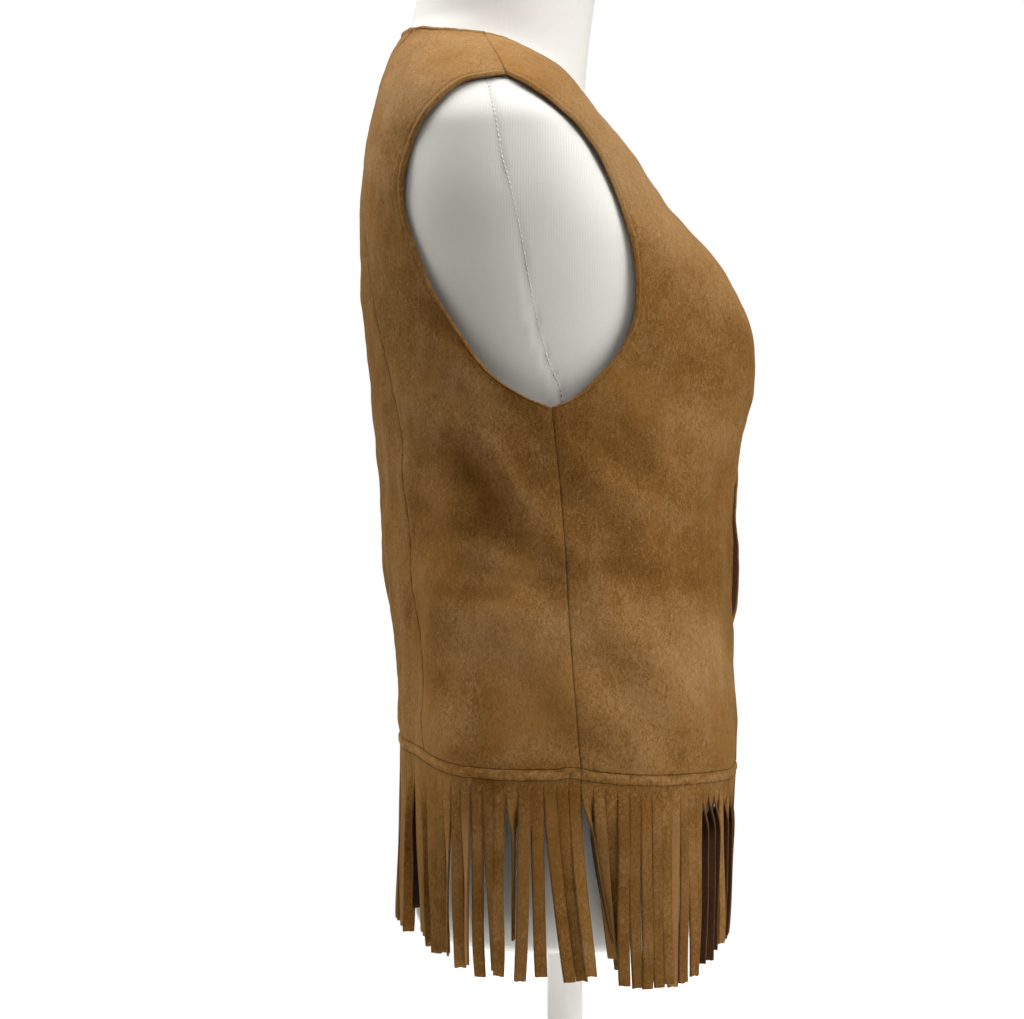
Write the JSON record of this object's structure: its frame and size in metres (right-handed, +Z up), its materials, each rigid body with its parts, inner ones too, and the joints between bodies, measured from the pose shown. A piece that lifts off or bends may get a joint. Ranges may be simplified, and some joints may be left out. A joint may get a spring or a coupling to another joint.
{
  "type": "fringed faux suede vest on limbless dress form",
  "caption": "Sleeveless open-front vest of tan faux suede with a fringed hem, worn on a cloth-covered limbless dress form with a round stand.",
  "frame": {"origin": "on the floor, at the middle of the stand's round base and of the part's box", "axes": "+Z up; the front of the vest faces -Y; the wearer's left is +X"},
  "size_m": [0.3806, 0.32, 0.85],
  "materials": {
    "suede": "napped, matte",
    "form_cloth": "knitted, matte",
    "stand_paint": "satin"
  },
  "bodies": {
    "root": {"centre_back": "suede", "side_back_left": "suede", "side_back_right": "suede", "front_left": "suede", "front_right": "suede", "hem_band_back": "suede", "hem_band_left": "suede", "hem_band_right": "suede", "fringe_back": "suede", "fringe_left": "suede", "fringe_right": "suede", "form_torso": "form_cloth", "stand_pole": "stand_paint", "stand_base": "stand_paint"}
  },
  "joints": []
}
